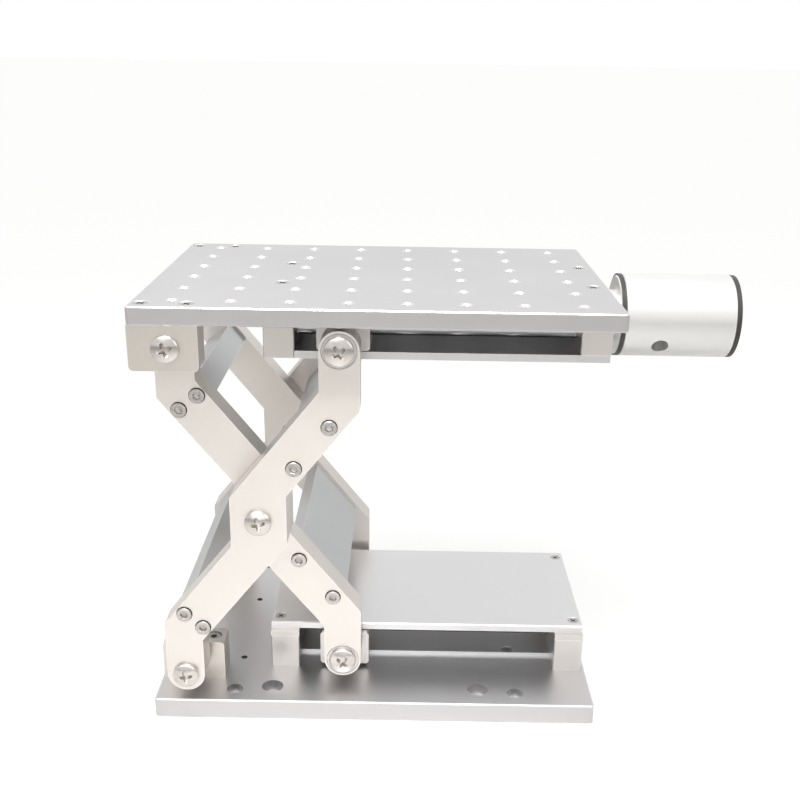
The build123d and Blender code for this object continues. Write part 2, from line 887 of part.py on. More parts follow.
def guide_rod(side, left, right, spacing, z, radius):
    """Ground rod held in the sockets of two blocks."""
    start = left - rod_socket_depth + screw_hole_clearance
    length = right - left + 2 * (rod_socket_depth - screw_hole_clearance)
    rod = rod_between((start, side * spacing / 2, z), (1, 0, 0), radius, length)
    return chamfer(rod.edges().filter_by(GeomType.CIRCLE), edge_break)


def slider_sleeve(side):
    """Sleeve between the upper slider's end and arm A."""
    start = (moving_pivot_x, across(side, slider_end), table_pivot_z)
    length = arm_a_inner - arm_side_gap / 2 - slider_end
    inner = pivot_shank_radius + screw_hole_clearance
    return tube_between(start, (0, side, 0), pivot_sleeve_radius, inner, length)


def lower_sleeve(side):
    """Short washer between the lower slider's end and arm B."""
    start = (moving_pivot_x, across(side, slider_end), base_pivot_z)
    length = arm_b_inner - arm_side_gap / 2 - slider_end
    inner = pivot_shank_radius + screw_hole_clearance
    return tube_between(start, (0, side, 0), pivot_sleeve_radius, inner, length)


def base_sleeve(side):
    """Sleeve between a base ear and arm A."""
    start = (fixed_pivot_x, across(side, ear_outer), base_pivot_z)
    length = base_ear_offset - arm_side_gap / 2
    inner = pivot_shank_radius + screw_hole_clearance
    return tube_between(start, (0, side, 0), pivot_sleeve_radius, inner, length)


def both_sides(make):
    """Group of the front and the rear copy of a small piece."""
    return Compound([make(side) for side in sides()])


def arm_bushes(kind, outer):
    """Plain bushes pressed into a pair of arms: at both ends, and in arm A at the hub too."""
    inner_radius = pivot_shank_radius + bush_bore_clearance
    spots = [(end_pivot * -1, 0.0), (end_pivot, slider_washer_thickness)]
    if kind == "a":
        spots.append((Vector(0, 0), 0.0))
    return Compound([
        tube_between(
            world_of(kind, spot, across(side, outer - depth)), (0, -side, 0),
            inner_radius + bush_wall, inner_radius, arm_thickness - depth,
        )
        for side in sides()
        for spot, depth in spots
    ])


def pivot_screws(x, z, head_y, head_radius, end_y):
    """Pair of pan head screws, from the seat under the head to the end of the shank."""
    return both_sides(lambda side: pivot_screw(
        (x, across(side, head_y), z), (0, -side, 0), head_radius, head_y - end_y
    ))


def slider_washers(z, outer):
    """Pair of washers in the arm's pocket, under the heads of the sliding pivots."""
    inner = pivot_shank_radius + screw_hole_clearance
    seat = outer - slider_washer_thickness + pivot_head_gap
    return both_sides(lambda side: tube_between(
        (moving_pivot_x, across(side, seat), z), (0, side, 0), slider_washer_radius, inner,
        slider_washer_thickness - pivot_head_gap,
    ))


def tie_screws(kind, outer):
    """The socket screws that hold both ties to the arms of one pair."""
    seat = outer - cap_m4_pocket_depth
    return Compound([
        cap_screw(
            world_of(kind, spot, across(side, seat)), (0, -side, 0), cap_m4_head_radius,
            cap_m4_head_height, cap_m4_shank_radius, tie_screw_length, cap_m4_socket,
        )
        for side in sides()
        for spot in tie_screw_points()
    ])


def tapped_tie(kind, centre, length, thickness, inner, outer, spots):
    """A tie with the holes its screws run into."""
    body = tie(kind, centre, length, thickness, inner)
    seat = outer - cap_m4_pocket_depth
    radius = cap_m4_shank_radius + screw_hole_clearance
    for side in sides():
        for spot in spots:
            start = world_of(kind, spot, across(side, seat))
            body -= rod_between(start, (0, -side, 0), radius, tie_screw_length + screw_hole_clearance)
    return body


def lead_screw():
    """Lead screw with a journal at each end and a shaft end for the knob."""
    left = end_block_left_inner - left_bush_length + screw_hole_clearance
    thread_left = end_block_left_inner + collar_gap
    thread_right = end_block_right_inner - collar_gap - collar_width
    journal_right = knob_left + knob_bore_depth - knob_gap
    body = rod_between((left, 0, table_pivot_z), (1, 0, 0), screw_journal_radius, journal_right - left)
    thread = rod_between(
        (thread_left, 0, table_pivot_z), (1, 0, 0), screw_radius, thread_right - thread_left
    )
    return chamfer(body.edges().filter_by(GeomType.CIRCLE), edge_break) + thread


def screw_collar():
    """Set collar that takes the thrust at the right end block."""
    start = (end_block_right_inner - collar_gap - collar_width, 0, table_pivot_z)
    inner = screw_journal_radius + bush_fit
    collar = tube_between(start, (1, 0, 0), collar_radius, inner, collar_width)
    return chamfer(collar.edges().filter_by(GeomType.CIRCLE).sort_by(Axis.X)[0], edge_break)


def lead_nut():
    """Bronze nut in the upper slider, flush with both of its faces."""
    start = (moving_pivot_x - slider_length / 2, 0, table_pivot_z)
    bore = screw_radius + nut_bore_clearance
    return tube_between(start, (1, 0, 0), nut_radius, bore, slider_length)


def left_screw_bush():
    """Plain bush for the left end of the lead screw."""
    start = (end_block_left_inner, 0, table_pivot_z)
    inner = screw_journal_radius + screw_run_clearance
    return tube_between(start, (-1, 0, 0), left_bush_radius, inner, left_bush_length)


def right_screw_bearing():
    """Bearing for the right end of the lead screw, as one ring."""
    start = (end_block_right_outer, 0, table_pivot_z)
    inner = screw_journal_radius + screw_run_clearance
    return tube_between(start, (-1, 0, 0), bearing_radius, inner, bearing_width)


def cap_screw_places():
    """Places of the bearing cap's screws, on the outer face of the right end block."""
    radius = bearing_cap_screw_circle / 2
    return [(end_block_right_outer, side * radius, table_pivot_z) for side in sides()]


def bearing_cap():
    """Round cap that holds the bearing in the right end block."""
    start = (end_block_right_outer, 0, table_pivot_z)
    cap = rod_between(start, (1, 0, 0), bearing_cap_radius, bearing_cap_thickness)
    cap = chamfer(cap.edges().filter_by(GeomType.CIRCLE).sort_by(Axis.X)[-1], edge_break)
    cap -= rod_between(start, (1, 0, 0), screw_journal_radius + screw_pass_clearance,
                       bearing_cap_thickness)
    for x, y, z in cap_screw_places():
        cap -= flat_screw_cut(
            (x + bearing_cap_thickness, y, z), (-1, 0, 0), flat_m3_head_radius,
            flat_m3_shank_radius, bearing_cap_thickness,
        )
    return cap


def knob():
    """Turned hand knob: plain barrel, a dark ring seat at each end, hub and bar hole."""
    half = knob_radius
    inner = knob_radius - knob_ring_relief
    ring = knob_ring_width
    outline = Polyline(
        (0, 0),
        (inner - edge_break, 0),
        (inner, edge_break),
        (inner, ring),
        (half - edge_break, ring),
        (half, ring + edge_break),
        (half, knob_length - ring - edge_break),
        (half - edge_break, knob_length - ring),
        (inner, knob_length - ring),
        (inner, knob_length - edge_break),
        (inner - edge_break, knob_length),
        (knob_face_recess_radius, knob_length),
        (knob_face_recess_radius, knob_length - knob_face_recess_depth),
        (0, knob_length - knob_face_recess_depth),
        (0, 0),
    )
    frame = Plane((knob_left, 0, table_pivot_z), x_dir=(0, 1, 0), z_dir=(1, 0, 0))
    body = frame * revolve(Plane.XZ * make_face(outline), Axis.Z)
    hub_start = (knob_left - knob_hub_length, 0, table_pivot_z)
    body += rod_between(hub_start, (1, 0, 0), knob_hub_radius, knob_hub_length + edge_break)
    bore = screw_journal_radius + bush_fit
    body -= rod_between(hub_start, (1, 0, 0), bore, knob_bore_depth + knob_hub_length - knob_gap)
    turn = math.radians(knob_bar_hole_turn)
    outward = Vector(0, -math.cos(turn), math.sin(turn))
    mouth = Vector(knob_left + knob_bar_hole_reach, 0, table_pivot_z) + outward * knob_radius
    body -= rod_between(mouth, outward * -1, knob_bar_hole_radius, knob_bar_hole_depth)
    body -= rod_between(mouth, outward * -1, knob_set_screw_radius + screw_hole_clearance, knob_radius)
    return body


def knob_ring(end):
    """Dark ring on one end of the knob."""
    inner = knob_radius - knob_ring_relief + bush_fit
    start_x = knob_left + edge_break if end < 0 else knob_right - knob_ring_width
    width = knob_ring_width - edge_break
    ring = tube_between((start_x, 0, table_pivot_z), (1, 0, 0), knob_radius - bush_fit, inner, width)
    return ring


def knob_set_screw():
    """Set screw between the bottom of the bar hole and the screw shaft."""
    turn = math.radians(knob_bar_hole_turn)
    outward = Vector(0, -math.cos(turn), math.sin(turn))
    tip = Vector(knob_left + knob_bar_hole_reach, 0, table_pivot_z)
    start = tip + outward * (screw_journal_radius + bush_fit)
    return rod_between(start, outward, knob_set_screw_radius, knob_set_screw_length)


# Base body
keep("base_plate", base_plate())
keep("base_ear_front", base_ear(-1))
keep("base_ear_rear", base_ear(1))
keep("base_ear_screws", Compound([
    cap_screw(
        (x, y, base_top + ear_height - ear_screw_seat_depth()), (0, 0, -1), cap_m4_head_radius,
        cap_m4_head_height, cap_m4_shank_radius, ear_screw_length, cap_m4_socket,
    )
    for x, y in ear_screw_places()
]))
keep("guide_support_left", guide_support(support_left_x))
keep("guide_support_right", guide_support(support_right_x))
keep("cover_spacer_left", cover_spacer(support_left_x))
keep("cover_spacer_right", cover_spacer(support_right_x))
keep("guide_support_screws", Compound([
    flat_screw(sunk((x, y, 0), (0, 0, 1)), (0, 0, 1), flat_m4_head_radius, flat_m4_shank_radius,
               flat_m4_length)
    for x, y in support_screw_places()
]))
keep("guide_cover", guide_cover())
keep("wear_plate", wear_plate())
keep("guide_small_screws", Compound(
    [small_screw((x, y, cover_bottom + cover_thickness), (0, 0, -1)) for x, y in cover_screw_places()]
    + [small_screw((x, y, base_top + wear_plate_thickness), (0, 0, -1))
       for x, y in wear_plate_screw_places()]
))
for side, word in ((-1, "front"), (1, "rear")):
    keep("lower_guide_rod_" + word, guide_rod(
        side, support_left_inner, support_right_inner, lower_rod_spacing, lower_rod_z,
        lower_rod_radius,
    ))
keep("base_pivot_sleeves", both_sides(base_sleeve))
keep("base_pivot_screws", pivot_screws(
    fixed_pivot_x, base_pivot_z, arm_a_outer + pivot_head_gap, pivot_head_radius,
    ear_outer - thread_engagement,
))

# Pair of arms A, and pair of arms B
for kind, outer, inner in (("a", arm_a_outer, arm_a_inner), ("b", arm_b_outer, arm_b_inner)):
    label = "arm_" + kind
    keep(label + "_front", arm(kind, -1, outer, inner))
    keep(label + "_rear", arm(kind, 1, outer, inner))
    spots = tie_screw_points()
    keep(label + "_tie_plate", tapped_tie(
        kind, tie_plate_centre, tie_plate_length, tie_plate_thickness, inner, outer, spots[:2]
    ))
    keep(label + "_tie_bar", tapped_tie(
        kind, tie_bar_centre, tie_bar_thickness, tie_bar_width, inner, outer, spots[2:]
    ))
    keep(label + "_tie_screws", tie_screws(kind, outer))
    keep(label + "_bushes", arm_bushes(kind, outer))
keep("hub_pivot_screws", pivot_screws(
    hub_x, hub_z, arm_a_outer + pivot_head_gap, pivot_head_radius, arm_b_inner + pivot_screw_recess
))

# Lower slider
keep("lower_slider", lower_slider())
keep("lower_slider_bushes", rod_bushes(lower_rod_spacing, lower_rod_z, lower_rod_radius))
keep("lower_slider_sleeves", both_sides(lower_sleeve))
keep("lower_pivot_washers", slider_washers(base_pivot_z, arm_b_outer))
keep("lower_pivot_screws", pivot_screws(
    moving_pivot_x, base_pivot_z, arm_b_outer, slider_head_radius, slider_end - thread_engagement
))

# Upper slider
keep("upper_slider", upper_slider())
keep("upper_slider_bushes", rod_bushes(upper_rod_spacing, table_pivot_z, upper_rod_radius))
keep("upper_slider_sleeves", both_sides(slider_sleeve))
keep("upper_pivot_washers", slider_washers(table_pivot_z, arm_a_outer))
keep("upper_pivot_screws", pivot_screws(
    moving_pivot_x, table_pivot_z, arm_a_outer, slider_head_radius, slider_end - thread_engagement
))
keep("lead_nut", lead_nut())

# Table
keep("table_plate", table_plate())
keep("table_bracket_front", table_bracket(-1))
keep("table_bracket_rear", table_bracket(1))
keep("table_screws", Compound([
    flat_screw(sunk((x, y, table_top), (0, 0, -1)), (0, 0, -1), flat_m4_head_radius,
               flat_m4_shank_radius, flat_m4_length)
    for x, y in bracket_screw_places() + end_block_screw_places()
]))
keep("end_block_left", end_block_left())
keep("end_block_right", end_block_right())
for side, word in ((-1, "front"), (1, "rear")):
    keep("upper_guide_rod_" + word, guide_rod(
        side, end_block_left_inner, end_block_right_inner, upper_rod_spacing, table_pivot_z,
        upper_rod_radius,
    ))
keep("closing_plate", closing_plate())
keep("left_screw_bush", left_screw_bush())
keep("right_screw_bearing", right_screw_bearing())
keep("bearing_cap", bearing_cap())
keep("end_block_small_screws", Compound(
    [small_screw((x, y, closing_plate_bottom), (0, 0, 1)) for x, y in closing_screw_places()]
    + [small_screw((x + bearing_cap_thickness, y, z), (-1, 0, 0)) for x, y, z in cap_screw_places()]
))
keep("table_pivot_screws", pivot_screws(
    fixed_pivot_x, table_pivot_z, bracket_outer, pivot_head_radius, arm_b_inner + pivot_screw_recess
))

# Drive
keep("lead_screw", lead_screw())
keep("screw_collar", screw_collar())
keep("knob", knob())
keep("knob_rings", Compound([knob_ring(-1), knob_ring(1)]))
keep("knob_set_screw", knob_set_screw())

os.makedirs("parts", exist_ok=True)
for name, shape in pieces.items():
    export_step(shape, f"parts/{name}.step")
print(len(pieces), "pieces written")
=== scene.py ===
import json
import math

import bmesh
import bpy
import numpy as np
from mathutils import Matrix, Vector


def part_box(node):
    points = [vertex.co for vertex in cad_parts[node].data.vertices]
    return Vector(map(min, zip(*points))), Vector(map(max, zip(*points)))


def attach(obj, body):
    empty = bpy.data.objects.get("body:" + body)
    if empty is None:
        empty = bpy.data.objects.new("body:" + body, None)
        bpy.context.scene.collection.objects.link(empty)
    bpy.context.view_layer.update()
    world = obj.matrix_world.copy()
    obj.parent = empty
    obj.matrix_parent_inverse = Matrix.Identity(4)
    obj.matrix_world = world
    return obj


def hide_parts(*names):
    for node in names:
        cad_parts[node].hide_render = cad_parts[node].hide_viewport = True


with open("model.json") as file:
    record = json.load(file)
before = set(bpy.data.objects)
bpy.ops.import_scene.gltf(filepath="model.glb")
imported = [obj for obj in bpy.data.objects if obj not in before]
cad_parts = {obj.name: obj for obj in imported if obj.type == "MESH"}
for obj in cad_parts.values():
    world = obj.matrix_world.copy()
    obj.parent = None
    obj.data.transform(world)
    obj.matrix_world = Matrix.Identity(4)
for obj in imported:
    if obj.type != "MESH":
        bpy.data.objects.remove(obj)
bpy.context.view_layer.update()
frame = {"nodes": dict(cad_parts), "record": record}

mm = 0.001
nodes = frame["nodes"]


# Camera, fitted to the plate corners, the hole grid and the pivots
view = {
    "place": (11.42 * mm, -502.93 * mm, 303.84 * mm),
    "yaw": 0.143,
    "pitch": 20.483,
    "roll": 0.891,
    "lens": 47.498,
    "sensor": 36.0,
    "shiftUp": 0.05,
}


def makeCamera(view):
    yaw, pitch, roll = (math.radians(view[key]) for key in ("yaw", "pitch", "roll"))
    back = Vector((math.sin(yaw) * math.cos(pitch), -math.cos(yaw) * math.cos(pitch), math.sin(pitch)))
    level = Vector((math.cos(yaw), math.sin(yaw), 0))
    upright = back.cross(level)
    right = math.cos(roll) * level + math.sin(roll) * upright
    up = math.cos(roll) * upright - math.sin(roll) * level
    lens = bpy.data.cameras.new("stageCamera")
    lens.lens = view["lens"]
    lens.sensor_width = view["sensor"]
    lens.shift_y = view["shiftUp"]
    camera = bpy.data.objects.new("stageCamera", lens)
    turn = Matrix((right, up, back)).transposed().to_4x4()
    camera.matrix_world = Matrix.Translation(view["place"]) @ turn
    bpy.context.scene.collection.objects.link(camera)
    bpy.context.scene.camera = camera


makeCamera(view)
print("camera placed")


# Lamps, world and floor
studio = {
    "worldTone": (1.0, 0.97, 0.94, 1.0),
    "worldStrength": 0.3,
    "floorTone": (0.93, 0.92, 0.905, 1.0),
    "floorSize": 40.0,
    "floorShare": 0.7,
    "floorGlow": 1.2,
    "sunTurn": (0.5, -0.25, 0.0),
    "sunSpread": 70.0,
    "sunStrength": 0.8,
}
lamps = {
    "topLamp": {"place": (-0.02, -0.15, 0.7), "aim": (-0.02, -0.15, 0.0), "size": 0.3, "watts": 3.4,
                "tone": (0.98, 0.99, 1.0)},
    "sideLamp": {"place": (0.9, -0.5, 0.7), "aim": (0.0, 0.0, 0.1), "size": 0.7, "watts": 1.0,
                 "tone": (1.0, 0.99, 0.98)},
    "lowLamp": {"place": (-0.02, -0.23, 0.13), "aim": (-0.02, -0.2, 0.0), "size": 0.24, "watts": 0.11,
                "tone": (0.98, 0.99, 1.0)},
}


def linked(tree, output, target):
    tree.links.new(output, target)


def seenDirectly(tree):
    # 1 for a camera, glossy or transmission ray, else 0
    path = tree.nodes.new("ShaderNodeLightPath")
    first = tree.nodes.new("ShaderNodeMath")
    first.operation = "MAXIMUM"
    second = tree.nodes.new("ShaderNodeMath")
    second.operation = "MAXIMUM"
    linked(tree, path.outputs["Is Camera Ray"], first.inputs[0])
    linked(tree, path.outputs["Is Glossy Ray"], first.inputs[1])
    linked(tree, first.outputs[0], second.inputs[0])
    linked(tree, path.outputs["Is Transmission Ray"], second.inputs[1])
    return second.outputs[0]


def makeWorld(studio):
    world = bpy.data.worlds.new("paleStudio")
    world.use_nodes = True
    tree = world.node_tree
    tree.nodes.clear()
    soft = tree.nodes.new("ShaderNodeBackground")
    soft.inputs["Color"].default_value = studio["worldTone"]
    soft.inputs["Strength"].default_value = studio["worldStrength"]
    white = tree.nodes.new("ShaderNodeBackground")
    white.inputs["Strength"].default_value = 1.0
    white.inputs["Color"].default_value = (1.0, 1.0, 1.0, 1.0)
    mix = tree.nodes.new("ShaderNodeMixShader")
    out = tree.nodes.new("ShaderNodeOutputWorld")
    linked(tree, seenDirectly(tree), mix.inputs[0])
    linked(tree, soft.outputs[0], mix.inputs[1])
    linked(tree, white.outputs[0], mix.inputs[2])
    linked(tree, mix.outputs[0], out.inputs["Surface"])
    bpy.context.scene.world = world


def makeFloor(studio):
    half = studio["floorSize"] / 2
    corners = [(-half, -half, 0), (half, -half, 0), (half, half, 0), (-half, half, 0)]
    mesh = bpy.data.meshes.new("studioFloor")
    mesh.from_pydata(corners, [], [(0, 1, 2, 3)])
    floor = bpy.data.objects.new("studioFloor", mesh)
    bpy.context.scene.collection.objects.link(floor)
    material = bpy.data.materials.new("paleFloor")
    material.use_nodes = True
    tree = material.node_tree
    tree.nodes.clear()
    paint = tree.nodes.new("ShaderNodeBsdfDiffuse")
    paint.inputs["Color"].default_value = studio["floorTone"]
    # The camera sees a floor close to white, and reflections show it as the lamps light it
    glow = tree.nodes.new("ShaderNodeEmission")
    glow.inputs["Color"].default_value = (1.0, 1.0, 1.0, 1.0)
    glow.inputs["Strength"].default_value = studio["floorGlow"]
    path = tree.nodes.new("ShaderNodeLightPath")
    share = tree.nodes.new("ShaderNodeMath")
    share.operation = "MULTIPLY"
    share.inputs[1].default_value = studio["floorShare"]
    mix = tree.nodes.new("ShaderNodeMixShader")
    out = tree.nodes.new("ShaderNodeOutputMaterial")
    linked(tree, path.outputs["Is Camera Ray"], share.inputs[0])
    linked(tree, share.outputs[0], mix.inputs[0])
    linked(tree, paint.outputs[0], mix.inputs[1])
    linked(tree, glow.outputs[0], mix.inputs[2])
    linked(tree, mix.outputs[0], out.inputs["Surface"])
    mesh.materials.append(material)


def makeLamp(name, lamp):
    light = bpy.data.lights.new(name, "AREA")
    light.shape = "DISK"
    light.size = lamp["size"]
    light.energy = lamp["watts"]
    light.color = lamp["tone"]
    holder = bpy.data.objects.new(name, light)
    aim = Vector(lamp["aim"]) - Vector(lamp["place"])
    turn = aim.to_track_quat("-Z", "Y").to_matrix().to_4x4()
    holder.matrix_world = Matrix.Translation(lamp["place"]) @ turn
    holder.visible_camera = False
    bpy.context.scene.collection.objects.link(holder)


def makeSun(studio):
    light = bpy.data.lights.new("softSun", "SUN")
    light.energy = studio["sunStrength"]
    light.angle = math.radians(studio["sunSpread"])
    holder = bpy.data.objects.new("softSun", light)
    holder.rotation_euler = studio["sunTurn"]
    bpy.context.scene.collection.objects.link(holder)


makeWorld(studio)
makeFloor(studio)
makeSun(studio)
for lampName, lamp in lamps.items():
    makeLamp(lampName, lamp)
bpy.context.scene.view_settings.view_transform = "Standard"
print("studio lit with a sun and", len(lamps), "lamps")


# Shared effects, each a node group built once
def newGroup(name, inputs, outputs):
    group = bpy.data.node_groups.new(name, "ShaderNodeTree")
    for label, kind, value in inputs:
        socket = group.interface.new_socket(label, in_out="INPUT", socket_type=kind)
        if value is not None:
            socket.default_value = value
    for label, kind in outputs:
        group.interface.new_socket(label, in_out="OUTPUT", socket_type=kind)
    return group, group.nodes.new("NodeGroupInput"), group.nodes.new("NodeGroupOutput")


def makeGrainGroup():
    # Blasted grain: a fine noise for the height and a slow one for the tone
    group, source, result = newGroup(
        "blastedGrain",
        [("Vector", "NodeSocketVector", None), ("Scale", "NodeSocketFloat", 2000.0),
         ("Tone Scale", "NodeSocketFloat", 14.0)],
        [("Height", "NodeSocketFloat"), ("Tone", "NodeSocketFloat")],
    )
    fine = group.nodes.new("ShaderNodeTexNoise")
    fine.inputs["Detail"].default_value = 2.0
    slow = group.nodes.new("ShaderNodeTexNoise")
    slow.inputs["Detail"].default_value = 3.0
    slow.inputs["Roughness"].default_value = 0.55
    group.links.new(source.outputs["Vector"], fine.inputs["Vector"])
    group.links.new(source.outputs["Scale"], fine.inputs["Scale"])
    group.links.new(source.outputs["Vector"], slow.inputs["Vector"])
    group.links.new(source.outputs["Tone Scale"], slow.inputs["Scale"])
    group.links.new(fine.outputs["Fac"], result.inputs["Height"])
    group.links.new(slow.outputs["Fac"], result.inputs["Tone"])
    return group


def makeEdgeHighlightGroup():
    # Painted edge highlight: how far the rounded normal turns from the true one, stretched to 0..1;
    # where it is high, the colour is painted lighter
    group, source, result = newGroup(
        "paintedEdgeHighlight",
        [("Radius", "NodeSocketFloat", 0.0006), ("Reach", "NodeSocketFloat", 0.08)],
        [("Mask", "NodeSocketFloat")],
    )
    bevel = group.nodes.new("ShaderNodeBevel")
    bevel.samples = 4
    geometry = group.nodes.new("ShaderNodeNewGeometry")
    dot = group.nodes.new("ShaderNodeVectorMath")
    dot.operation = "DOT_PRODUCT"
    turned = group.nodes.new("ShaderNodeMath")
    turned.operation = "SUBTRACT"
    turned.inputs[0].default_value = 1.0
    spread = group.nodes.new("ShaderNodeMath")
    spread.operation = "DIVIDE"
    spread.use_clamp = True
    group.links.new(source.outputs["Radius"], bevel.inputs["Radius"])
    group.links.new(bevel.outputs["Normal"], dot.inputs[0])
    group.links.new(geometry.outputs["Normal"], dot.inputs[1])
    group.links.new(dot.outputs["Value"], turned.inputs[1])
    group.links.new(turned.outputs[0], spread.inputs[0])
    group.links.new(source.outputs["Reach"], spread.inputs[1])
    group.links.new(spread.outputs[0], result.inputs["Mask"])
    return group


def makeTurnedGroup():
    # Turned or drawn marks: a noise squeezed along one axis, so that it runs in lines
    group, source, result = newGroup(
        "turnedMarks",
        [("Vector", "NodeSocketVector", None), ("Scale", "NodeSocketFloat", 900.0)],
        [("Height", "NodeSocketFloat")],
    )
    noise = group.nodes.new("ShaderNodeTexNoise")
    noise.inputs["Detail"].default_value = 3.0
    noise.inputs["Roughness"].default_value = 0.6
    group.links.new(source.outputs["Vector"], noise.inputs["Vector"])
    group.links.new(source.outputs["Scale"], noise.inputs["Scale"])
    group.links.new(noise.outputs["Fac"], result.inputs["Height"])
    return group


grainGroup = makeGrainGroup()
edgeHighlightGroup = makeEdgeHighlightGroup()
turnedGroup = makeTurnedGroup()


def placedGroup(tree, group, values):
    node = tree.nodes.new("ShaderNodeGroup")
    node.node_tree = group
    for label, value in values.items():
        node.inputs[label].default_value = value
    return node


def objectPoints(tree, stretch):
    coordinates = tree.nodes.new("ShaderNodeTexCoord")
    mapping = tree.nodes.new("ShaderNodeMapping")
    mapping.inputs["Scale"].default_value = stretch
    linked(tree, coordinates.outputs["Object"], mapping.inputs["Vector"])
    return mapping.outputs["Vector"]


def mixedColour(tree, factor, first, second):
    mix = tree.nodes.new("ShaderNodeMix")
    mix.data_type = "RGBA"
    for socket, value in ((mix.inputs[6], first), (mix.inputs[7], second)):
        if isinstance(value, bpy.types.NodeSocket):
            linked(tree, value, socket)
        else:
            socket.default_value = (*value, 1.0)
    linked(tree, factor, mix.inputs[0])
    return mix.outputs[2]


def rangedValue(tree, source, low, high):
    ranged = tree.nodes.new("ShaderNodeMapRange")
    ranged.inputs["To Min"].default_value = low
    ranged.inputs["To Max"].default_value = high
    linked(tree, source, ranged.inputs["Value"])
    return ranged.outputs["Result"]


def bumped(tree, height, strength, distance, shader):
    bump = tree.nodes.new("ShaderNodeBump")
    bump.inputs["Strength"].default_value = strength
    bump.inputs["Distance"].default_value = distance
    linked(tree, height, bump.inputs["Height"])
    linked(tree, bump.outputs["Normal"], shader.inputs["Normal"])


def newMaterial(name, finish):
    material = bpy.data.materials.new(name)
    material.use_nodes = True
    shader = material.node_tree.nodes["Principled BSDF"]
    shader.inputs["Metallic"].default_value = finish["metallic"]
    return material, material.node_tree, shader


def anodised(name, finish):
    material, tree, shader = newMaterial(name, finish)
    grain = placedGroup(tree, grainGroup, {"Scale": finish["grain"], "Tone Scale": finish["cloud"]})
    linked(tree, objectPoints(tree, (1, 1, 1)), grain.inputs["Vector"])
    edge = placedGroup(tree, edgeHighlightGroup, {"Radius": finish["edge"] * mm})
    tone = mixedColour(tree, grain.outputs["Tone"], finish["dark"], finish["light"])
    # Painted highlight: the edges are mixed towards the lighter rim colour
    colour = mixedColour(tree, edge.outputs["Mask"], tone, finish["rim"])
    linked(tree, colour, shader.inputs["Base Color"])
    rough = rangedValue(tree, grain.outputs["Tone"], finish["smooth"], finish["rough"])
    linked(tree, rough, shader.inputs["Roughness"])
    bumped(tree, grain.outputs["Height"], finish["bump"], 0.05 * mm, shader)
    return material


def turned(name, finish):
    material, tree, shader = newMaterial(name, finish)
    marks = placedGroup(tree, turnedGroup, {"Scale": finish["marks"]})
    linked(tree, objectPoints(tree, finish["stretch"]), marks.inputs["Vector"])
    colour = mixedColour(tree, marks.outputs["Height"], finish["dark"], finish["light"])
    linked(tree, colour, shader.inputs["Base Color"])
    rough = rangedValue(tree, marks.outputs["Height"], finish["smooth"], finish["rough"])
    linked(tree, rough, shader.inputs["Roughness"])
    bumped(tree, marks.outputs["Height"], finish["bump"], 0.03 * mm, shader)
    return material


# In each finish, rim is the lighter colour of the painted edge highlight
anodisedFinishes = {
    "plateAnodised": {
        "dark": (0.55, 0.54, 0.545), "light": (0.65, 0.64, 0.645), "rim": (0.93, 0.92, 0.91),
        "metallic": 1.0, "smooth": 0.34, "rough": 0.44, "grain": 2600.0, "cloud": 9.0,
        "edge": 0.5, "bump": 0.25,
    },
    "bracketAnodised": {
        "dark": (0.66, 0.62, 0.57), "light": (0.74, 0.70, 0.65), "rim": (0.93, 0.91, 0.88),
        "metallic": 1.0, "smooth": 0.36, "rough": 0.46, "grain": 2600.0, "cloud": 20.0,
        "edge": 0.4, "bump": 0.25,
    },
    "blockAnodised": {
        "dark": (0.64, 0.61, 0.58), "light": (0.72, 0.69, 0.66), "rim": (0.92, 0.91, 0.9),
        "metallic": 1.0, "smooth": 0.34, "rough": 0.44, "grain": 2600.0, "cloud": 20.0,
        "edge": 0.4, "bump": 0.25,
    },
    "coverAnodised": {
        "dark": (0.68, 0.68, 0.68), "light": (0.76, 0.76, 0.76), "rim": (0.95, 0.95, 0.95),
        "metallic": 1.0, "smooth": 0.28, "rough": 0.36, "grain": 3200.0, "cloud": 8.0,
        "edge": 0.4, "bump": 0.15,
    },
    "armAnodised": {
        "dark": (0.72, 0.68, 0.64), "light": (0.80, 0.76, 0.72), "rim": (0.95, 0.93, 0.91),
        "metallic": 0.95, "smooth": 0.36, "rough": 0.46, "grain": 2600.0, "cloud": 16.0,
        "edge": 0.4, "bump": 0.25,
    },
    # A darker, greyer copy of the arm anodise for the tie plates and bars, which share the arms'
    # finish: painted shade
    "tieAnodisedPaintedShade": {
        "dark": (0.56, 0.57, 0.58), "light": (0.64, 0.65, 0.66), "rim": (0.93, 0.93, 0.94),
        "metallic": 0.85, "smooth": 0.30, "rough": 0.40, "grain": 2600.0, "cloud": 16.0,
        "edge": 0.4, "bump": 0.2,
    },
    "ringDark": {
        "dark": (0.035, 0.033, 0.032), "light": (0.06, 0.057, 0.055), "rim": (0.12, 0.12, 0.12),
        "metallic": 0.0, "smooth": 0.35, "rough": 0.5, "grain": 1800.0, "cloud": 40.0,
        "edge": 0.2, "bump": 0.1,
    },
}
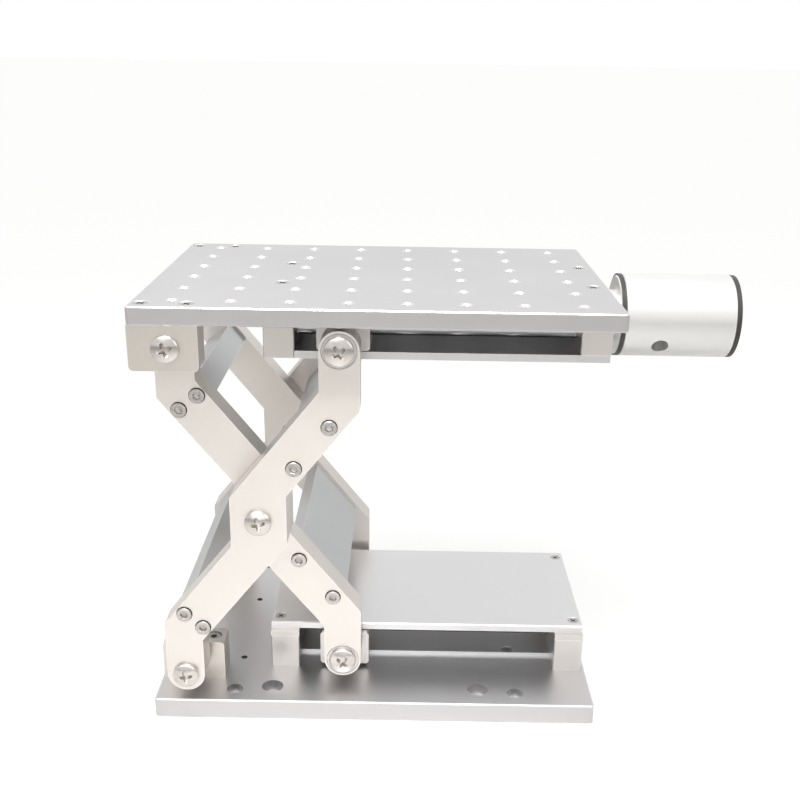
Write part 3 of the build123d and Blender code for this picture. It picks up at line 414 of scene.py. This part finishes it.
turnedFinishes = {
    "knobAnodised": {
        "dark": (0.74, 0.735, 0.72), "light": (0.84, 0.835, 0.82), "metallic": 0.7,
        "smooth": 0.30, "rough": 0.42, "marks": 260.0, "stretch": (12.0, 1.0, 1.0), "bump": 0.12,
    },
    "pivotNickel": {
        "dark": (0.50, 0.47, 0.44), "light": (0.72, 0.69, 0.66), "metallic": 1.0,
        "smooth": 0.12, "rough": 0.24, "marks": 420.0, "stretch": (1.0, 1.0, 1.0), "bump": 0.05,
    },
    "socketSteel": {
        "dark": (0.38, 0.36, 0.34), "light": (0.62, 0.60, 0.57), "metallic": 1.0,
        "smooth": 0.22, "rough": 0.36, "marks": 700.0, "stretch": (1.0, 3.0, 1.0), "bump": 0.1,
    },
    "smallScrewSteel": {
        "dark": (0.42, 0.41, 0.39), "light": (0.60, 0.59, 0.57), "metallic": 1.0,
        "smooth": 0.24, "rough": 0.36, "marks": 700.0, "stretch": (1.0, 1.0, 1.0), "bump": 0.1,
    },
    "washerSteel": {
        "dark": (0.56, 0.54, 0.52), "light": (0.72, 0.70, 0.68), "metallic": 1.0,
        "smooth": 0.2, "rough": 0.32, "marks": 500.0, "stretch": (1.0, 6.0, 1.0), "bump": 0.08,
    },
    "groundSteel": {
        "dark": (0.42, 0.42, 0.43), "light": (0.58, 0.58, 0.59), "metallic": 1.0,
        "smooth": 0.14, "rough": 0.24, "marks": 500.0, "stretch": (10.0, 1.0, 1.0), "bump": 0.06,
    },
    "bearingBronze": {
        "dark": (0.48, 0.33, 0.15), "light": (0.64, 0.46, 0.22), "metallic": 1.0,
        "smooth": 0.28, "rough": 0.42, "marks": 500.0, "stretch": (8.0, 1.0, 1.0), "bump": 0.1,
    },
    "cutThread": {
        "dark": (0.78, 0.77, 0.76), "light": (0.92, 0.91, 0.90), "metallic": 0.6,
        "smooth": 0.22, "rough": 0.34, "marks": 900.0, "stretch": (1.0, 1.0, 6.0), "bump": 0.06,
    },
}
materials = {name: anodised(name, finish) for name, finish in anodisedFinishes.items()}
materials.update({name: turned(name, finish) for name, finish in turnedFinishes.items()})
slotMaterials = {
    "plate_anodised": "plateAnodised",
    "bracket_anodised": "bracketAnodised",
    "block_anodised": "blockAnodised",
    "cover_anodised": "coverAnodised",
    "arm_anodised": "armAnodised",
    "knob_anodised": "knobAnodised",
    "knob_ring_dark": "ringDark",
    "pivot_screw_nickel": "pivotNickel",
    "socket_screw_steel": "socketSteel",
    "small_screw_steel": "smallScrewSteel",
    "washer_steel": "washerSteel",
    "ground_steel": "groundSteel",
    "bronze": "bearingBronze",
}
slotOf = {part["node"]: part["material_slot"] for part in frame["record"]["subparts"]}
bodyOf = {node: body for body, members in frame["record"]["behaviour"]["bodies"].items()
          for node in members}
# The tie plates and bars get the darker copy of the arm anodise, as painted shade
tieNodes = ("arm_a_tie_plate", "arm_b_tie_plate", "arm_a_tie_bar", "arm_b_tie_bar")
for node, shown in nodes.items():
    finishName = "tieAnodisedPaintedShade" if node in tieNodes else slotMaterials[slotOf[node]]
    shown.data.materials.clear()
    shown.data.materials.append(materials[finishName])
print("materials made:", len(materials))


# Meshes from numpy grids
mergeReach = 1e-7
sharpAngle = math.radians(38)


def gridPiece(name, points, material, node, ringsJoin=False):
    # points is copies by rows by columns by 3. Columns go round and join; rows join if ringsJoin.
    copies, rows, columns = points.shape[:3]
    index = np.arange(copies * rows * columns).reshape(copies, rows, columns)
    across = np.roll(index, -1, axis=2)
    below = np.roll(index, -1, axis=1)
    belowAcross = np.roll(below, -1, axis=2)
    last = rows if ringsJoin else rows - 1
    quads = np.stack([index, across, belowAcross, below], axis=-1)[:, :last]
    mesh = bpy.data.meshes.new(name)
    mesh.from_pydata(points.reshape(-1, 3).tolist(), [], quads.reshape(-1, 4).tolist())
    shape = bmesh.new()
    shape.from_mesh(mesh)
    bmesh.ops.remove_doubles(shape, verts=shape.verts, dist=mergeReach)
    bmesh.ops.dissolve_degenerate(shape, edges=shape.edges, dist=mergeReach)
    bmesh.ops.recalc_face_normals(shape, faces=shape.faces)
    shape.to_mesh(mesh)
    shape.free()
    mesh.shade_smooth()
    mesh.set_sharp_from_angle(angle=sharpAngle)
    mesh.materials.append(materials[material])
    piece = bpy.data.objects.new(name, mesh)
    bpy.context.scene.collection.objects.link(piece)
    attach(piece, bodyOf[node])
    return piece


def placedCopies(points, places):
    # Every grid point is turned by each place's matrix and moved by its origin
    turns = np.array([[list(row)[:3] for row in place[:3]] for place in places])
    origins = np.array([place.to_translation()[:] for place in places])
    return np.einsum("kij,rcj->krci", turns, points) + origins[:, None, None, :]


def outward(place, direction, turn=0.0):
    # Local Z points outward, and turn rotates the piece about it
    facing = Vector(direction).to_track_quat("Z", "Y").to_matrix().to_4x4()
    return Matrix.Translation(place) @ facing @ Matrix.Rotation(math.radians(turn), 4, "Z")


def showScrews(node, points, material):
    screws = gridPiece(node + "_shown", points, material, node)
    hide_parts(node)


def turnedGrid(profile, columns):
    # A profile of radius and height is turned about local Z
    radius, height = np.array(profile, float).T
    angle = np.linspace(0, 2 * np.pi, columns, endpoint=False)
    x = radius[:, None] * np.cos(angle)
    y = radius[:, None] * np.sin(angle)
    z = np.broadcast_to(height[:, None], x.shape)
    return np.stack([x, y, z], axis=-1) * mm


def crossDepth(x, y, recess):
    # Four tapered wings: deep in the middle, shallower outward, with steep sides
    angle = np.arctan2(y, x)
    radius = np.hypot(x, y)
    folded = (angle + np.pi / 4) % (np.pi / 2) - np.pi / 4
    along = radius * np.cos(folded)
    across = radius * np.abs(np.sin(folded))
    width = recess["inner"] + (recess["outer"] - recess["inner"]) * along / recess["reach"]
    wall = np.clip((width - across) / recess["wall"] + 0.5, 0, 1)
    end = np.clip((recess["reach"] - along) / recess["ramp"], 0, 1)
    return recess["depth"] * wall * end


def crossHeadGrid(head, recess, columns=160, rings=46):
    # The head's top is a dome less the recess; then come its rim, its underside and its shank
    angle = np.linspace(0, 2 * np.pi, columns, endpoint=False)
    radius = np.linspace(0, head["radius"] - head["round"], rings)
    x = radius[:, None] * np.cos(angle)
    y = radius[:, None] * np.sin(angle)
    dome = head["height"] - head["crown"] * (radius[:, None] / head["radius"]) ** 2
    z = dome - crossDepth(x, y, recess)
    top = np.stack([x, y, z], axis=-1) * mm
    low = head["height"] - head["crown"]
    bend = np.linspace(0.2, 1, 5) * np.pi / 2
    inset = head["radius"] - head["round"]
    rim = [
        (inset + head["round"] * math.sin(step), low - head["round"] * (1 - math.cos(step)))
        for step in bend
    ]
    profile = rim + [
        (head["radius"], head["seat"]), (head["under"], 0.0), (head["shank"], 0.0),
        (head["shank"], -head["length"]), (0.0, -head["length"]),
    ]
    return np.concatenate([top, turnedGrid(profile, columns)])


# Pivot screws: pan heads with a cross recess
pivotHead = {
    "height": 3.4, "crown": 1.5, "round": 0.5, "seat": 0.15, "shank": 3.0,
    "recess": {"inner": 0.8625, "outer": 0.6, "reach": 3.4, "ramp": 1.53, "wall": 0.35, "depth": 2.0},
}
pivotLengths = {
    "base_pivot_screws": 26.7, "hub_pivot_screws": 26.7, "table_pivot_screws": 26.5,
    "upper_pivot_screws": 38.5, "lower_pivot_screws": 24.0,
}
pivotTurns = {
    "base_pivot_screws": 8.0, "hub_pivot_screws": 12.0, "table_pivot_screws": 20.0,
    "upper_pivot_screws": 34.0, "lower_pivot_screws": 52.0,
}


def makePivotScrews(node):
    low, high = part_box(node)
    middleX, middleZ = (low.x + high.x) / 2, (low.z + high.z) / 2
    radius = (high.x - low.x) / 2 / mm
    under = radius - pivotHead["seat"]
    head = {**pivotHead, "radius": radius, "under": under, "length": pivotLengths[node]}
    grid = crossHeadGrid(head, pivotHead["recess"])
    drop = pivotHead["height"] * mm
    places = [
        outward((middleX, low.y + drop, middleZ), (0, -1, 0), pivotTurns[node]),
        outward((middleX, high.y - drop, middleZ), (0, 1, 0), 90 - pivotTurns[node]),
    ]
    showScrews(node, placedCopies(grid, places), "pivotNickel")


for node in pivotLengths:
    makePivotScrews(node)
print("pivot screws made")


# Where the screws of a group stand, read from the bottoms of their sockets
def screwCentres(node, axis, level, reach):
    mesh = nodes[node].data
    corners = np.zeros(len(mesh.vertices) * 3, np.float32)
    mesh.vertices.foreach_get("co", corners)
    corners = corners.reshape(-1, 3)
    left = corners[np.abs(corners[:, axis] - level) < 0.02 * mm]
    centres = []
    while len(left):
        near = np.linalg.norm(left - left[0], axis=1) < reach
        group = left[near]
        centres.append(Vector((group.min(0) + group.max(0)) / 2))
        left = left[~near]
    return centres


# Socket screws: knurled cap heads with a hexagon socket
capScrew = {
    "radius": 3.5, "height": 4.0, "socket": 1.5, "socketDepth": 2.0, "edge": 0.35,
    "shank": 2.0, "knurlCount": 24, "knurlDepth": 0.09, "spacing": 4.2,
}
tieTurn = 17.0
earTurn = 23.0


def capScrewGrid(screw, length, columns=192):
    # Rings of the socket are hexagons, rings of the head's side carry the knurl
    top, bottom = screw["height"], screw["height"] - screw["socketDepth"]
    radius, edge = screw["radius"], screw["edge"]
    rows = [  # radius, height, share of hexagon, share of knurl
        (0.0, bottom - 0.5, 0, 0),
        (screw["socket"], bottom, 1, 0),
        (screw["socket"], top - 0.25, 1, 0),
        (screw["socket"] + 0.22, top, 1, 0),
        (radius - edge, top, 0, 0),
        (radius - 0.1, top - edge * 0.6, 0, 0),
        (radius, top - edge, 0, 0.4),
        (radius, top - edge - 0.25, 0, 1),
        (radius, 0.5, 0, 1),
        (radius, 0.3, 0, 0.3),
        (radius - 0.2, 0.0, 0, 0),
        (screw["shank"], 0.0, 0, 0),
        (screw["shank"], -length, 0, 0),
        (0.0, -length, 0, 0),
    ]
    size, height, hexShare, knurlShare = np.array(rows, float).T[:, :, None]
    angle = np.linspace(0, 2 * np.pi, columns, endpoint=False)
    folded = (angle + np.pi / 6) % (np.pi / 3) - np.pi / 6
    hexagon = 1 / np.cos(folded)
    knurl = screw["knurlDepth"] * (0.5 + 0.5 * np.cos(angle * screw["knurlCount"]))
    reach = size * (1 + hexShare * (hexagon - 1)) - knurlShare * knurl
    x, y = reach * np.cos(angle), reach * np.sin(angle)
    return np.stack([x, y, np.broadcast_to(height, x.shape)], axis=-1) * mm


def makeTieScrews(node, length):
    low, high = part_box(node)
    places = []
    for side, face in ((-1, low.y), (1, high.y)):
        bottom = face - side * capScrew["socketDepth"] * mm
        seat = face - side * capScrew["height"] * mm
        for count, spot in enumerate(screwCentres(node, 1, bottom, capScrew["spacing"] * mm)):
            places.append(outward((spot.x, seat, spot.z), (0, side, 0), tieTurn * count))
    showScrews(node, placedCopies(capScrewGrid(capScrew, length), places), "socketSteel")
    print(node, "has", len(places), "screws")


def makeEarScrews(node, length):
    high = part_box(node)[1]
    bottom = high.z - capScrew["socketDepth"] * mm
    seat = high.z - capScrew["height"] * mm
    places = [
        outward((spot.x, spot.y, seat), (0, 0, 1), earTurn * count)
        for count, spot in enumerate(screwCentres(node, 2, bottom, capScrew["spacing"] * mm))
    ]
    showScrews(node, placedCopies(capScrewGrid(capScrew, length), places), "socketSteel")
    print(node, "has", len(places), "screws")


makeTieScrews("arm_a_tie_screws", 26.0)
makeTieScrews("arm_b_tie_screws", 26.0)
makeEarScrews("base_ear_screws", 24.0)


# Threads in the table's holes
tableGrid = {
    "pitch": 25.0, "columns": 8, "rows": 6, "holeRadius": 2.5, "threadPitch": 0.8,
    "threadDepth": 0.38, "rootGap": 0.02, "wallCover": 0.08, "foot": 0.1, "mouth": 0.45,
    "turnColumns": 20, "rowsPerTurn": 4,
}


def threadGrid(thread, length):
    # The inner wall is a cylinder less a triangle wave of height and angle; the outer wall is plain
    angle = np.linspace(0, 2 * np.pi, thread["turnColumns"], endpoint=False)
    count = int(length / thread["threadPitch"] * thread["rowsPerTurn"]) + 1
    height = np.linspace(0, length, count)
    phase = (height[:, None] / thread["threadPitch"] - angle / (2 * np.pi)) % 1
    wave = 1 - np.abs(2 * phase - 1)
    inner = thread["holeRadius"] - thread["rootGap"] - thread["threadDepth"] * wave
    outer = np.full((2, len(angle)), thread["holeRadius"] + thread["wallCover"])
    radius = np.concatenate([inner, outer])
    level = np.concatenate([height, [length, 0.0]])[:, None]
    x, y = radius * np.cos(angle), radius * np.sin(angle)
    return np.stack([x, y, np.broadcast_to(level, x.shape)], axis=-1) * mm


def centredLine(count, pitch):
    return (np.arange(count) - (count - 1) / 2) * pitch


def makeTableThreads():
    low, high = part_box("table_plate")
    middle = (low + high) / 2
    thickness = (high.z - low.z) / mm
    foot = low.z + tableGrid["foot"] * mm
    places = [
        Matrix.Translation((middle.x + x * mm, middle.y + y * mm, foot))
        for x in centredLine(tableGrid["columns"], tableGrid["pitch"])
        for y in centredLine(tableGrid["rows"], tableGrid["pitch"])
    ]
    grid = threadGrid(tableGrid, thickness - tableGrid["mouth"] - tableGrid["foot"])
    threads = gridPiece(
        "table_hole_threads", placedCopies(grid, places), "cutThread", "table_plate", ringsJoin=True
    )
    print("table has", len(places), "tapped holes,", len(threads.data.polygons), "faces")


makeTableThreads()
